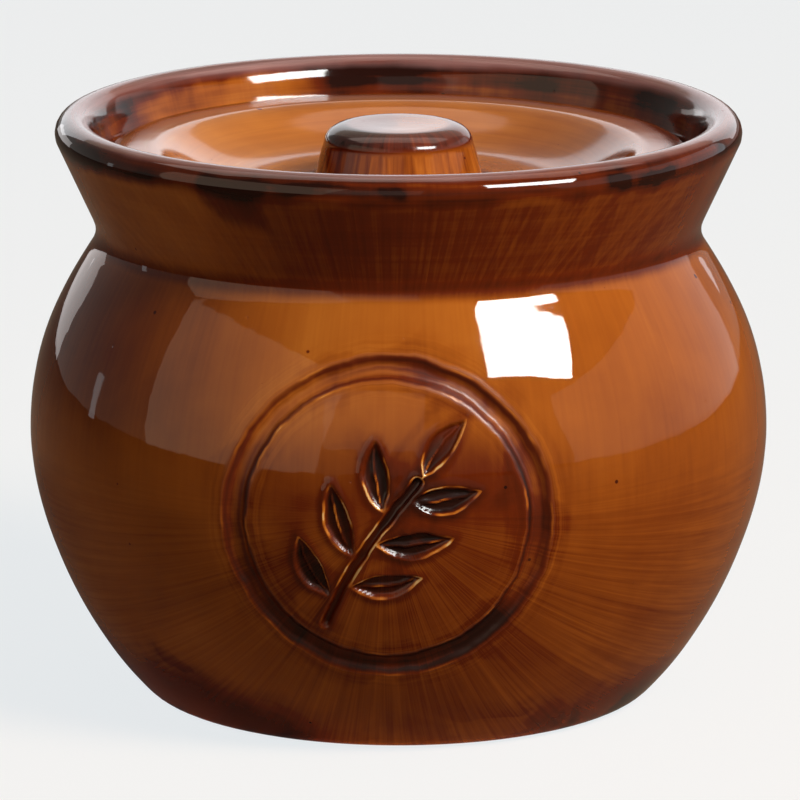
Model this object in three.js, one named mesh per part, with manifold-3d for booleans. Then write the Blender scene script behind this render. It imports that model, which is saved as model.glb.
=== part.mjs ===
// Small glazed stoneware stew pot: a round-bellied pot with a flared collar, and a loose
// lid that drops into the collar and rests on a ledge inside it. Millimetres, +Z up. The
// pot stands on z = 0 around the Z axis, and its carved roundel faces -Y.

import * as THREE from 'three';
import { mergeVertices } from 'three/addons/utils/BufferGeometryUtils.js';
import Module from 'manifold-3d';

const wasm = await Module();
wasm.setup();

// Pot, outside
const potHeight = 98.6;
const mouthRadius = 57.5;
const lipRound = 3.1; // the lip is rolled to a full round, as thick as the collar
const collarHeight = 19.9; // from the waist's crease to the top of the lip
const waistRadius = 50.1;
const waistBlend = 3; // length of the soft crease on each side of the waist
const shoulderLean = THREE.MathUtils.degToRad(32.9); // from upright, at the waist
const bellyRadius = 62.1;
const bellyHeight = 44.8;
const footRadius = 39.5;
const footRound = 5.7;
const footTurn = THREE.MathUtils.degToRad(45.2); // how far the foot's round turns

// Pot, inside and underneath
const bellyWall = 5.4;
const throatWall = 7.5;
const ledgeRise = 6.8; // of the lid's ledge above the waist's crease
const ledgeRound = 0.9;
const throatBlend = 3;
const floorThickness = 5.5;
const floorRound = 6;
const footRingWidth = 4.6;
const footRecess = 1.6;
const recessSlope = 1.4; // how far the recess's wall leans inwards

// Lid, a dished plate with a raised ring round it
const lidClearance = 0.6; // between the lid's edge and the collar, square to the wall
const seatGap = 0.3; // left by the glaze between the lid and its ledge
const lidRingHeight = 7.2;
const lidRingWidth = 8;
const lidEdgeBlend = 3;
const dishDepth = 6;
const dishFloorRadius = 24;
const lidThickness = 4.6;
const plugClearance = 1.2; // between the lid's dropped middle and the throat
const plugRound = 1.5;

// Knob, stuck on the lid's dish with slip
const knobHeight = 9.65;
const knobTopRadius = 12.5;
const knobLean = THREE.MathUtils.degToRad(14.8);
const knobEdgeWidth = 4.4;
const knobEdgeDrop = 2.2;
const knobFillet = 0.9;

// Roundel carved into the belly: a ring groove round a leafy sprig
const roundelRadius = 25.4;
const roundelMargin = 9.7; // along the clay, from the shoulder's top to the ring groove
const grooveRound = 1.8;
const grooveDepth = 1.1;
const leafDepth = 0.9;
const leafHalfWidth = 2.2;
const leafLength = 12;
const leafBow = 1.5; // how far a leaf's curved sides lean away from the sprig's tip
const leafGap = 1.5; // from the stem's middle to the near point of a leaf
const stemRound = 1;
const stemDepth = 0.8;
const carvingOverrun = 2; // how far the cutters stand out of the clay

// Shares of the roundel's radius, from its middle: the stem's start, bend and end
const stemShares = [[-0.42, -0.68], [-0.2, -0.16], [0.2, 0.28]];
// Where leaves leave the stem, as a share of its length, how far each opens from it, as a
// share of half a turn, and how long it is as a share of the full leaf
const leafShares = [
	{ along: 0.14, turn: 0.28, size: 0.95 },
	{ along: 0.26, turn: -0.3, size: 1 },
	{ along: 0.42, turn: 0.26, size: 1.05 },
	{ along: 0.56, turn: -0.28, size: 1.05 },
	{ along: 0.73, turn: 0.25, size: 1 },
	{ along: 0.87, turn: -0.24, size: 0.95 },
	{ along: 1, turn: 0.02, size: 0.95 },
];
// Where a leaf is widest, as a share of its length
const leafWidestShare = 0.45;

// Shares that bend the belly's two curves: of its height below the widest part, and of
// the shoulder's height above it
const lowerBellyShares = { foot: 0.32, belly: 0.309 };
const upperBellyShares = { belly: 0.459, waist: 0.308 };
// How far the lid's dish runs level before it turns, as shares of its slope's width
const dishSlopeShares = { crest: 0.25, floor: 0.5 };

// Facets
const turnSteps = 64;
const knobSteps = 48;
const bellySteps = 9;
const cavitySteps = 6;
const roundSteps = 4;
const creaseSteps = 3;
const grooveSteps = 60;
const grooveSides = 8;
const leafSteps = 6;
const stemSteps = 10;
const stemSides = 8;
const mergeGap = 0.001;

// Colours and gloss of the glazes
const potGlaze = 0xa05518;
const lidGlaze = 0xb4692c;
const knobGlaze = 0x9a4c16;
const glazeRoughness = 0.12;

// Points of a half section, out from the axis (x) and up (y)
const spot = (radius, height) => new THREE.Vector2(radius, height);
// The point at a distance from another, in a direction measured from upright
const reach = (from, lean, distance) =>
	spot(from.x + distance * Math.sin(lean), from.y + distance * Math.cos(lean));

const line = (a, b) => new THREE.LineCurve(a, b);
const softCorner = (a, corner, b) => new THREE.QuadraticBezierCurve(a, corner, b);

// The points of several curves in a row, without the repeats where they meet
function section(...pieces) {
	const points = [];
	for (const [curve, steps] of pieces) {
		for (const point of curve.getPoints(steps)) {
			const last = points[points.length - 1];
			if (!last || last.distanceTo(point) > mergeGap) points.push(point);
		}
	}
	return points;
}

// A closed mesh with its shared corners joined and its empty triangles left out
function sealed(geometry) {
	geometry.deleteAttribute('normal');
	geometry.deleteAttribute('uv');
	const joined = mergeVertices(geometry, mergeGap);
	const corners = Array.from(joined.index.array);
	const kept = [];
	for (let i = 0; i < corners.length; i += 3) {
		const [a, b, c] = corners.slice(i, i + 3);
		if (a !== b && b !== c && c !== a) kept.push(a, b, c);
	}
	joined.setIndex(kept);
	return joined;
}

// A half section, from the axis round the outside and back to the axis, turned about +Z
function turned(points, steps) {
	const geometry = new THREE.LatheGeometry(points, steps);
	geometry.rotateX(Math.PI / 2);
	return sealed(geometry);
}

function asSolid(geometry) {
	const vertProperties = new Float32Array(geometry.attributes.position.array);
	const triVerts = new Uint32Array(geometry.index.array);
	return new wasm.Manifold(new wasm.Mesh({ numProp: 3, vertProperties, triVerts }));
}

function asGeometry(solid) {
	const { vertProperties, triVerts } = solid.getMesh();
	const geometry = new THREE.BufferGeometry();
	geometry.setAttribute('position', new THREE.BufferAttribute(vertProperties, 3));
	geometry.setIndex(new THREE.BufferAttribute(triVerts, 1));
	return geometry;
}

// Pot's outline: foot, belly, waist, collar and lip
const waistHeight = potHeight - collarHeight;
const waist = spot(waistRadius, waistHeight);
const lipCentre = spot(mouthRadius - lipRound, potHeight - lipRound);

// The collar's outside runs from the waist's crease to touch the lip's round
const toLip = lipCentre.clone().sub(waist);
const collarLean = Math.atan2(toLip.x, toLip.y) + Math.asin(lipRound / toLip.length());
const collarTop = spot(
	lipCentre.x + lipRound * Math.cos(collarLean),
	lipCentre.y - lipRound * Math.sin(collarLean),
);
const collarFoot = reach(waist, collarLean, waistBlend);
const shoulderTop = reach(waist, Math.PI - shoulderLean, waistBlend);

const footCentre = spot(footRadius, footRound);
const bellyFoot = spot(
	footCentre.x + footRound * Math.sin(footTurn),
	footCentre.y - footRound * Math.cos(footTurn),
);
const belly = spot(bellyRadius, bellyHeight);
const shoulderHeight = shoulderTop.y - bellyHeight;

const footCurve = new THREE.EllipseCurve(
	footCentre.x, footCentre.y, footRound, footRound,
	-Math.PI / 2, footTurn - Math.PI / 2, false,
);
const lowerBelly = new THREE.CubicBezierCurve(
	bellyFoot,
	reach(bellyFoot, Math.PI / 2 - footTurn, lowerBellyShares.foot * bellyHeight),
	spot(bellyRadius, bellyHeight * (1 - lowerBellyShares.belly)),
	belly,
);
const upperBelly = new THREE.CubicBezierCurve(
	belly,
	spot(bellyRadius, bellyHeight + upperBellyShares.belly * shoulderHeight),
	reach(shoulderTop, Math.PI - shoulderLean, upperBellyShares.waist * shoulderHeight),
	shoulderTop,
);
const lipCurve = new THREE.EllipseCurve(
	lipCentre.x, lipCentre.y, lipRound, lipRound,
	-collarLean, Math.PI - collarLean, false,
);

// The collar's inner wall is parallel to its outside, one lip's thickness in
const lipInside = spot(
	lipCentre.x - lipRound * Math.cos(collarLean),
	lipCentre.y + lipRound * Math.sin(collarLean),
);
const collarInside = (height) =>
	lipInside.x - (lipInside.y - height) * Math.tan(collarLean);

const ledgeHeight = waistHeight + ledgeRise;
const throatRadius = waistRadius - throatWall;
const ledgeOuter = spot(collarInside(ledgeHeight), ledgeHeight);

// Points of an outer curve moved in by the wall's thickness, from its end to its start
function insideOf(curve, steps, wall) {
	const points = [];
	for (let step = steps; step >= 0; step -= 1) {
		const point = curve.getPoint(step / steps);
		const tangent = curve.getTangent(step / steps);
		points.push(spot(point.x - tangent.y * wall, point.y + tangent.x * wall));
	}
	return points;
}

// The half section of the pot, from the middle of its underside to the middle of its floor
function potSection() {
	const recessRadius = footRadius - footRingWidth;
	const floorHeight = footRecess + floorThickness;
	const shoulderInside = insideOf(upperBelly, cavitySteps, bellyWall);
	const cavityTop = shoulderInside[0];
	// The shoulder's inner slope runs on until it meets the throat's upright wall
	const throatFoot = cavityTop.y + (cavityTop.x - throatRadius) / Math.tan(shoulderLean);
	const bellyInside = insideOf(lowerBelly, cavitySteps, bellyWall)
		.filter((point) => point.y > floorHeight + floorRound);
	const floorEdge = bellyInside[bellyInside.length - 1];
	const corner = spot(floorEdge.x - floorRound / 2, floorHeight);

	return [
		...section(
			[line(spot(0, footRecess), spot(recessRadius - recessSlope, footRecess)), 1],
			[line(spot(recessRadius - recessSlope, footRecess), spot(recessRadius, 0)), 1],
			[line(spot(recessRadius, 0), spot(footRadius, 0)), 1],
			[footCurve, roundSteps],
			[lowerBelly, bellySteps],
			[upperBelly, bellySteps],
			[softCorner(shoulderTop, waist, collarFoot), creaseSteps],
			[line(collarFoot, collarTop), 1],
			[lipCurve, 2 * roundSteps],
			[line(lipInside, ledgeOuter), 1],
			[line(ledgeOuter, spot(throatRadius + ledgeRound, ledgeHeight)), 1],
			[softCorner(
				spot(throatRadius + ledgeRound, ledgeHeight),
				spot(throatRadius, ledgeHeight),
				spot(throatRadius, ledgeHeight - ledgeRound),
			), creaseSteps],
			[softCorner(
				spot(throatRadius, throatFoot + throatBlend),
				spot(throatRadius, throatFoot),
				cavityTop,
			), roundSteps],
		),
		...shoulderInside.slice(1),
		...bellyInside.slice(1),
		...section(
			[softCorner(floorEdge, corner, spot(corner.x - floorRound, floorHeight)), roundSteps],
			[line(spot(corner.x - floorRound, floorHeight), spot(0, floorHeight)), 1],
		).slice(1),
	];
}

// The belly's outside at a distance up from its widest part, measured along the clay
function bellyAt(rise) {
	const curve = rise < 0 ? lowerBelly : upperBelly;
	const share = rise < 0 ? 1 + rise / curve.getLength() : rise / curve.getLength();
	return { point: curve.getPointAt(share), tangent: curve.getTangentAt(share) };
}

// The roundel hangs below the shoulder's top, so its middle is this far up the clay
const roundelRise = upperBelly.getLength() - roundelMargin - roundelRadius;

// Bends a flat design onto the belly: its x goes round the pot, its y up the clay and its
// z straight out of it, counted from the roundel's middle
function laidOnBelly(geometry) {
	const place = geometry.attributes.position;
	for (let i = 0; i < place.count; i += 1) {
		const { point, tangent } = bellyAt(place.getY(i) + roundelRise);
		const radius = point.x + tangent.y * place.getZ(i);
		const turn = place.getX(i) / bellyRadius;
		place.setXYZ(
			i,
			radius * Math.sin(turn),
			-radius * Math.cos(turn),
			point.y - tangent.x * place.getZ(i),
		);
	}
	return sealed(geometry);
}

function ringCutter() {
	const ring = new THREE.TorusGeometry(roundelRadius, grooveRound, grooveSides, grooveSteps);
	ring.translate(0, 0, grooveRound - grooveDepth);
	return laidOnBelly(ring);
}

const stem = new THREE.QuadraticBezierCurve3(
	...stemShares.map(([x, y]) => new THREE.Vector3(x, y, 0).multiplyScalar(roundelRadius)),
);

function stemCutter() {
	const round = new THREE.Shape(
		new THREE.EllipseCurve(0, 0, stemRound, stemRound).getPoints(stemSides).slice(1),
	);
	const tube = new THREE.ExtrudeGeometry(round, { extrudePath: stem, steps: stemSteps });
	tube.translate(0, 0, stemRound - stemDepth);
	return laidOnBelly(tube);
}

// A leaf is a pointed oval that bows away from the sprig's tip, sunk straight into the clay
function leafCutter({ along, turn, size }) {
	const length = leafLength * size;
	const widest = leafWidestShare * length;
	const bow = Math.sign(turn) * leafBow;
	const oval = new THREE.Shape();
	oval.moveTo(0, 0);
	oval.quadraticCurveTo(widest, bow - 2 * leafHalfWidth, length, 0);
	oval.quadraticCurveTo(widest, bow + 2 * leafHalfWidth, 0, 0);
	const leaf = new THREE.ExtrudeGeometry(oval, {
		depth: leafDepth + carvingOverrun,
		bevelEnabled: false,
		curveSegments: leafSteps,
	});
	const from = stem.getPoint(along);
	const way = stem.getTangent(along);
	leaf.translate(leafGap, 0, -leafDepth);
	leaf.rotateZ(Math.atan2(way.y, way.x) + turn * Math.PI);
	leaf.translate(from.x, from.y, 0);
	return laidOnBelly(leaf);
}

function potBody() {
	const cutters = [ringCutter(), stemCutter(), ...leafShares.map(leafCutter)];
	let solid = asSolid(turned(potSection(), turnSteps));
	for (const cutter of cutters) solid = solid.subtract(asSolid(cutter));
	return asGeometry(solid);
}

// Lid, measured up from its seat face
const seatHeight = ledgeHeight + seatGap;
const dishFloor = lidRingHeight - dishDepth;
const lidEdge = (rise) =>
	collarInside(seatHeight + rise) - lidClearance / Math.cos(collarLean);

function lidPlate() {
	const underside = dishFloor - lidThickness;
	const plugRadius = throatRadius - plugClearance;
	const crestOuter = spot(lidEdge(lidRingHeight), lidRingHeight);
	const crestInner = spot(crestOuter.x - lidRingWidth, lidRingHeight);
	const slopeWidth = crestInner.x - dishFloorRadius;
	const edgeTop = reach(crestOuter, Math.PI + collarLean, lidEdgeBlend);
	return turned(section(
		[line(spot(0, underside), spot(plugRadius - plugRound, underside)), 1],
		[softCorner(
			spot(plugRadius - plugRound, underside),
			spot(plugRadius, underside),
			spot(plugRadius, underside + plugRound),
		), creaseSteps],
		[line(spot(plugRadius, underside + plugRound), spot(plugRadius, 0)), 1],
		[line(spot(plugRadius, 0), spot(lidEdge(0), 0)), 1],
		[line(spot(lidEdge(0), 0), edgeTop), 1],
		[softCorner(edgeTop, crestOuter, spot(crestOuter.x - lidEdgeBlend, lidRingHeight)), roundSteps],
		[new THREE.CubicBezierCurve(
			crestInner,
			spot(crestInner.x - dishSlopeShares.crest * slopeWidth, lidRingHeight),
			spot(dishFloorRadius + dishSlopeShares.floor * slopeWidth, dishFloor),
			spot(dishFloorRadius, dishFloor),
		), 2 * roundSteps],
		[line(spot(dishFloorRadius, dishFloor), spot(0, dishFloor)), 1],
	), turnSteps);
}

// Knob, measured up from its foot
function knob() {
	const sideTop = spot(knobTopRadius, knobHeight - knobEdgeDrop);
	const sideFoot = reach(sideTop, Math.PI - knobLean, sideTop.y / Math.cos(knobLean));
	return turned(section(
		[line(spot(0, 0), spot(sideFoot.x + knobFillet, 0)), 1],
		[softCorner(
			spot(sideFoot.x + knobFillet, 0),
			sideFoot,
			reach(sideFoot, -knobLean, 2 * knobFillet),
		), creaseSteps],
		[line(reach(sideFoot, -knobLean, 2 * knobFillet), sideTop), 1],
		[new THREE.EllipseCurve(
			knobTopRadius - knobEdgeWidth, sideTop.y, knobEdgeWidth, knobEdgeDrop,
			0, Math.PI / 2, false,
		), 2 * roundSteps],
		[line(spot(knobTopRadius - knobEdgeWidth, knobHeight), spot(0, knobHeight)), 1],
	), knobSteps);
}

function piece(name, geometry, color) {
	const material = new THREE.MeshStandardMaterial({ color, roughness: glazeRoughness, metalness: 0 });
	const mesh = new THREE.Mesh(geometry, material);
	mesh.name = name;
	return mesh;
}

const lid = new THREE.Group();
lid.position.z = seatHeight;
lid.add(piece('lid_plate', lidPlate(), lidGlaze));

const lidKnob = piece('lid_knob', knob(), knobGlaze);
lidKnob.position.z = dishFloor;
lid.add(lidKnob);

const pot = new THREE.Group();
pot.add(piece('pot_body', potBody(), potGlaze));
pot.add(lid);

export default pot;
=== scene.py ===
"""A small glazed stoneware stew pot with a loose lid, dressed for a studio picture.

Lengths are in metres and angles in radians. The pot stands on z = 0 round the Z axis, and
its carved roundel faces -Y. A half section is drawn in the XZ plane and turned about Z.
"""

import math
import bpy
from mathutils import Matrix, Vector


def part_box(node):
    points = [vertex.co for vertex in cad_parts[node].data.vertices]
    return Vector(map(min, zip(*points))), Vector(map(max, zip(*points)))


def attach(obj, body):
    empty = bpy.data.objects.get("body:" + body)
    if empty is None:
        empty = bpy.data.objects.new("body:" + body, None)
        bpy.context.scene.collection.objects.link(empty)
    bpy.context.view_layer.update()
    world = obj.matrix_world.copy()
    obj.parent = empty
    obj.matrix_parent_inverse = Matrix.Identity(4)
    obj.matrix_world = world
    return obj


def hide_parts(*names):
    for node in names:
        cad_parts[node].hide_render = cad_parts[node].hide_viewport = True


bl_info = {
    "name": "Stoneware stew pot",
    "version": (1, 0, 0),
    "blender": (4, 5, 0),
    "location": "3D View > Sidebar > Stew Pot",
    "description": "Makes a glazed stew pot with a carved roundel and a loose lid",
    "category": "Add Mesh",
}

from types import SimpleNamespace

import bmesh
import bpy
from mathutils import Matrix, Vector, geometry, noise

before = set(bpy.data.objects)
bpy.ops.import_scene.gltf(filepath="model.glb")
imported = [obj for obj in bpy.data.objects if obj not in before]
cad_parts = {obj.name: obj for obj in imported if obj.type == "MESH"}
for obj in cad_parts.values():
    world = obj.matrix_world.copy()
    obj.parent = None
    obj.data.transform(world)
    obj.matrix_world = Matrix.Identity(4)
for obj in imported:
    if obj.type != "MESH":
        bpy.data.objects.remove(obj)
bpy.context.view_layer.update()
pot_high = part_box("pot_body")[1]

PER_MM = 1000
MERGE = 0.000001
FLOOR_GAP = 0.00005
# Faces that meet at a smaller angle look like one smooth surface
SHARP = math.radians(38)
# How far along to its corner each handle of a soft bend reaches
PULL = 2 / 3
# Without a seed Blender takes one from the clock, and the carver's hand strays anew each run
HAND_SEED = 7


def number(name, value, description, **kind):
    """A number that a user can change."""
    return bpy.props.FloatProperty(name=name, description=description, default=value, **kind)


def length(name, metres, description):
    """A length that a user can change."""
    return number(name, metres, description, unit="LENGTH", subtype="DISTANCE")


def angle(name, degrees, description):
    """An angle that a user can change."""
    return number(name, math.radians(degrees), description, unit="ROTATION", subtype="ANGLE")


def tone(name, colour, description):
    """A colour, given as the red, green and blue of a screen from 0 to 255."""
    return bpy.props.FloatVectorProperty(
        name=name,
        description=description,
        default=[from_screen(part) for part in colour],
        size=3,
        min=0,
        max=1,
        subtype="COLOR",
    )


def from_screen(part):
    """One part of a screen colour, from 0 to 255, as the linear value that shaders use."""
    part /= 255
    return part / 12.92 if part <= 0.04045 else ((part + 0.055) / 1.055) ** 2.4


class StewPotBody(bpy.types.PropertyGroup):
    """Sizes of the pot, outside and inside."""

    height: length("Height", pot_high.z, "From the foot to the top of the lip")
    mouth_radius: length("Mouth radius", 0.0575, "Outermost radius of the lip")
    lip_round: length("Lip round", 0.0031, "Radius of the lip's full round")
    collar_height: length("Collar height", 0.0199, "From the waist's crease to the lip's top")
    waist_radius: length("Waist radius", 0.0501, "Radius at the waist's crease")
    collar_swell: angle("Collar swell", 10, "How much flatter the inner face starts under the lip")
    collar_ease: angle("Collar ease", 8, "How much steeper it then falls to the lid")
    swell_reach: length("Swell reach", 0.0028, "Length of the bend between the two")
    waist_blend: length("Waist blend", 0.003, "Length of the soft crease on each side")
    shoulder_lean: angle("Shoulder lean", 32.9, "Lean of the shoulder at the waist")
    belly_radius: length("Belly radius", pot_high.x, "Radius at the widest ring")
    belly_height: length("Belly height", 0.0448, "Height of the widest ring")
    foot_radius: length("Foot radius", 0.0395, "Outer radius of the flat foot ring")
    foot_round: length("Foot round", 0.0057, "Radius of the round above the foot")
    foot_turn: angle("Foot turn", 45.2, "How far the foot's round turns")
    belly_wall: length("Belly wall", 0.0054, "Thickness of the belly")
    throat_wall: length("Throat wall", 0.0075, "Thickness of the waist")
    ledge_rise: length("Ledge rise", 0.0068, "Height of the lid's ledge above the waist")
    ledge_round: length("Ledge round", 0.0009, "Round on the ledge's inner edge")
    throat_blend: length("Throat blend", 0.003, "Soft bend under the throat")
    floor_thickness: length("Floor", 0.0055, "Thickness of the floor")
    floor_round: length("Floor round", 0.006, "Round between the floor and the wall")
    foot_ring_width: length("Foot ring", 0.0046, "Width of the foot ring")
    foot_recess: length("Recess", 0.0016, "Depth of the recess inside the foot ring")
    recess_slope: length("Recess slope", 0.0014, "How far the recess's wall leans in")


class StewPotLid(bpy.types.PropertyGroup):
    """Sizes of the lid's plate."""

    clearance: length("Clearance", 0.0006, "Between the lid's edge and the collar")
    seat_gap: length("Seat gap", 0.0003, "Between the lid and its ledge")
    ring_height: length("Ring height", 0.0072, "From the seat face to the ring's top")
    ring_width: length("Ring width", 0.008, "Width of the ring's flat top")
    edge_blend: length("Edge blend", 0.003, "Soft bend at the ring's outer edge")
    dish_depth: length("Dish depth", 0.006, "Depth of the dish inside the ring")
    dish_floor_radius: length("Dish floor", 0.024, "Radius of the dish's flat floor")
    thickness: length("Thickness", 0.0046, "Thickness at the middle")
    plug_clearance: length("Plug clearance", 0.0012, "Between the plug and the throat")
    plug_round: length("Plug round", 0.0015, "Round on the plug's lower edge")


class StewPotKnob(bpy.types.PropertyGroup):
    """Sizes of the knob."""

    height: length("Height", 0.00965, "Above the dish's floor")
    top_radius: length("Top radius", 0.0125, "Radius at the top edge")
    lean: angle("Lean", 16.5, "Lean of the side from upright")
    edge_width: length("Edge width", 0.0042, "Width of the rounded top edge")
    edge_drop: length("Edge drop", 0.003, "Height of the rounded top edge")
    fillet: length("Fillet", 0.0009, "Slip fillet at the foot")
    dish_depth: length("Dish depth", 0.00013, "Depth of the thumb's hollow in the top")


class StewPotRoundel(bpy.types.PropertyGroup):
    """Sizes of the carved roundel."""

    radius: length("Radius", 0.0256, "Radius of the ring groove's middle")
    stretch: number("Stretch", 1.018, "How much taller than wide the hand cut it")
    margin: length("Margin", 0.01046, "Along the clay, from the shoulder's top to the ring")
    groove_reach: length("Groove reach", 0.0023, "Half width of the ring groove")
    groove_wall: length("Groove wall", 0.0018, "Width of the groove's sloping wall")
    groove_depth: length("Groove depth", 0.0011, "Depth of the ring groove")
    field_depth: length("Field depth", 0.0002, "How far the ring's inside is sunk")
    stem_reach: length("Stem reach", 0.001, "Half width of the stem")
    leaf_depth: length("Leaf depth", 0.0009, "Depth of the leaves and the stem")
    leaf_half_width: length("Leaf half width", 0.0022, "Half width of a leaf")
    leaf_length: length("Leaf length", 0.012, "Length of a full leaf")
    leaf_bow: length("Leaf bow", 0.0015, "How far a leaf bows away from the sprig's tip")
    leaf_gap: length("Leaf gap", 0.0015, "From the stem's middle to a leaf's near point")
    cut_wall: length("Cut wall", 0.0006, "Width of the sloping wall of a cut")
    vein_reach: length("Vein reach", 0.0005, "Half width of the ridge along a leaf")
    vein_height: length("Vein height", 0.0005, "Height of the ridge along a leaf")
    burr_reach: length("Burr reach", 0.0012, "Width of the clay pushed up beside a cut")
    burr_height: length("Burr height", 0.00016, "Height of the clay pushed up beside a cut")
    hand_wander: length("Hand wander", 0.0003, "How far the carver's hand strays")


class StewPotGlaze(bpy.types.PropertyGroup):
    """Colours of the glaze, from thin to thick, and of the bare clay."""

    cream: tone("Cream", (216, 172, 108), "Glaze drawn thin over a sharp edge")
    honey: tone("Honey", (196, 114, 36), "Thin glaze")
    amber: tone("Amber", (160, 82, 20), "Glaze at its usual thickness")
    chestnut: tone("Chestnut", (100, 33, 6), "Glaze that has run together")
    umber: tone("Umber", (36, 10, 5), "Deep glaze in cuts and on the lip")
    # Partly a painted sheen: besides fine crystals, this pale tone stands in for pale reflections
    # on the lip's crest, the lid's ring and the knob's edge
    bloom_and_sheen: tone("Bloom", (158, 112, 106), "Bloom of fine crystals on deep glaze")
    clay: tone("Clay", (176, 142, 108), "Bare fired clay")
    clay_stain: tone("Clay stain", (122, 84, 56), "Stains on the bare clay")
    shine: tone("Shine", (255, 240, 222), "Tint of the glaze's reflections seen straight on")
    shine_level: number("Shine level", 0.27, "Strength of the reflections", min=0, max=1)


class StewPotStage(bpy.types.PropertyGroup):
    """The floor, the lamps and the camera."""

    floor_colour: tone("Floor", (114, 96, 78), "Colour of the studio floor in its own light")
    floor_lift: number("Floor lift", 0.83, "Paleness added where the floor is seen")
    lift_colour: tone("Lift colour", (245, 250, 253), "Colour of that paleness")
    floor_gleam: number("Floor gleam", 0.04, "Share of it that the glaze mirrors")
    floor_radius: length("Floor radius", 3.0, "Radius of the studio floor")
    backdrop_level: number("Backdrop level", 0.88, "Paleness of the room beyond the floor")
    room_low: number("Room low", 0.3, "Strength of the room's light near the floor")
    room_high: number("Room high", 0.15, "Strength of the room's light overhead")
    camera_distance: length("Camera distance", 1.187, "From the aim to the camera")
    camera_lens: number("Lens", 316.37, "Focal length", unit="CAMERA")
    camera_turn: angle("Camera turn", 1.87, "Azimuth of the camera from -Y towards +X")
    camera_rise: angle("Camera rise", 13.0345, "Elevation of the camera")
    aim_height: length("Aim height", 0.0491, "Height of the point at the picture's middle")
    aim_aside: length("Aim aside", 0.00025, "How far the aim lies to the camera's right")


class StewPotSettings(bpy.types.PropertyGroup):
    """All the sizes and colours of the stew pot."""

    pot: bpy.props.PointerProperty(type=StewPotBody)
    lid: bpy.props.PointerProperty(type=StewPotLid)
    knob: bpy.props.PointerProperty(type=StewPotKnob)
    roundel: bpy.props.PointerProperty(type=StewPotRoundel)
    glaze: bpy.props.PointerProperty(type=StewPotGlaze)
    stage: bpy.props.PointerProperty(type=StewPotStage)


# Half sections


def spot(radius, height):
    """A point of a half section."""
    return Vector((radius, 0, height))


def reach(start, lean, distance):
    """The point at a distance from another, in a direction measured from upright."""
    return start + distance * spot(math.sin(lean), math.cos(lean))


class Outline:
    """A half section, as points and the distance run along it up to each of them."""

    def __init__(self, start):
        self.points = [start.copy()]
        self.runs = [0.0]

    @property
    def end(self):
        """The last point."""
        return self.points[-1]

    @property
    def run(self):
        """The distance run up to the last point."""
        return self.runs[-1]

    def add(self, points):
        """Adds points, leaving out any that lies on the one before it."""
        for point in points:
            step = (point - self.end).length
            if step > MERGE:
                self.points.append(point.copy())
                self.runs.append(self.run + step)
        return self.run

    def straight(self, to, grain):
        """A straight line in steps of no more than the grain."""
        start = self.end
        steps = max(1, math.ceil((to - start).length / grain))
        return self.add(start.lerp(to, step / steps) for step in range(1, steps + 1))

    def curve(self, leave, arrive, to, grain):
        """A Bezier curve with its two handles."""
        steps = math.ceil(curve_length(self.end, leave, arrive, to) / grain)
        return self.add(geometry.interpolate_bezier(self.end, leave, arrive, to, steps + 1))

    def bend(self, corner, to, grain):
        """A soft bend that leaves towards a corner and arrives from it."""
        return self.curve(self.end.lerp(corner, PULL), to.lerp(corner, PULL), to, grain)

    def round(self, centre, turn, grain):
        """An arc about a centre, turning from +X towards +Z."""
        arm = self.end - centre
        steps = math.ceil(arm.length * abs(turn) / grain)
        turns = (Matrix.Rotation(-turn * step / steps, 3, "Y") for step in range(1, steps + 1))
        return self.add(centre + matrix @ arm for matrix in turns)


def curve_length(start, leave, arrive, end):
    """The length of a Bezier curve."""
    samples = 65
    points = geometry.interpolate_bezier(start, leave, arrive, end, samples)
    return sum((b - a).length for a, b in zip(points, points[1:]))


def inside_of(points, wall):
    """A row of outer points moved in by the wall's thickness, from its end to its start."""
    moved = []
    for before, point, after in zip(points, points[1:], points[2:]):
        along = (after - before).normalized()
        moved.append(point + wall * spot(-along.z, along.x))
    return moved[::-1]


class PotShape:
    """Named points of the pot's half section that its lid, its carving and its glaze share."""

    def __init__(self, size, roundel):
        self.waist = spot(size.waist_radius, size.height - size.collar_height)
        self.lip_centre = spot(
            size.mouth_radius - size.lip_round, size.height - size.lip_round
        )
        to_lip = self.lip_centre - self.waist
        self.collar_lean = math.atan2(to_lip.x, to_lip.z) + math.asin(
            size.lip_round / to_lip.length
        )
        across = size.lip_round * spot(
            math.cos(self.collar_lean), -math.sin(self.collar_lean)
        )
        self.collar_top = self.lip_centre + across
        self.lip_inside = self.lip_centre - across
        self.collar_foot = reach(self.waist, self.collar_lean, size.waist_blend)
        down = math.pi - size.shoulder_lean
        self.shoulder_top = reach(self.waist, down, size.waist_blend)

        self.foot_centre = spot(size.foot_radius, size.foot_round)
        self.belly_foot = reach(self.foot_centre, math.pi - size.foot_turn, size.foot_round)
        self.belly = spot(size.belly_radius, size.belly_height)
        shoulder_height = self.shoulder_top.z - size.belly_height
        foot_share, lower_share, upper_share, waist_share = 0.32, 0.309, 0.459, 0.308
        self.lower_handles = (
            reach(self.belly_foot, math.pi / 2 - size.foot_turn, foot_share * size.belly_height),
            self.belly - spot(0, lower_share * size.belly_height),
        )
        self.upper_handles = (
            self.belly + spot(0, upper_share * shoulder_height),
            reach(self.shoulder_top, down, waist_share * shoulder_height),
        )
        upper_length = curve_length(self.belly, *self.upper_handles, self.shoulder_top)
        self.roundel_rise = upper_length - roundel.margin - roundel.radius
        fine_share = 1.4
        self.fine_edge = roundel.radius + fine_share * roundel.groove_reach
        self.ledge_height = self.waist.z + size.ledge_rise
        self.throat_radius = size.waist_radius - size.throat_wall

    def collar_inside(self, height):
        """The radius of the collar's inner wall."""
        return self.lip_inside.x - (self.lip_inside.z - height) * math.tan(self.collar_lean)


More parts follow.
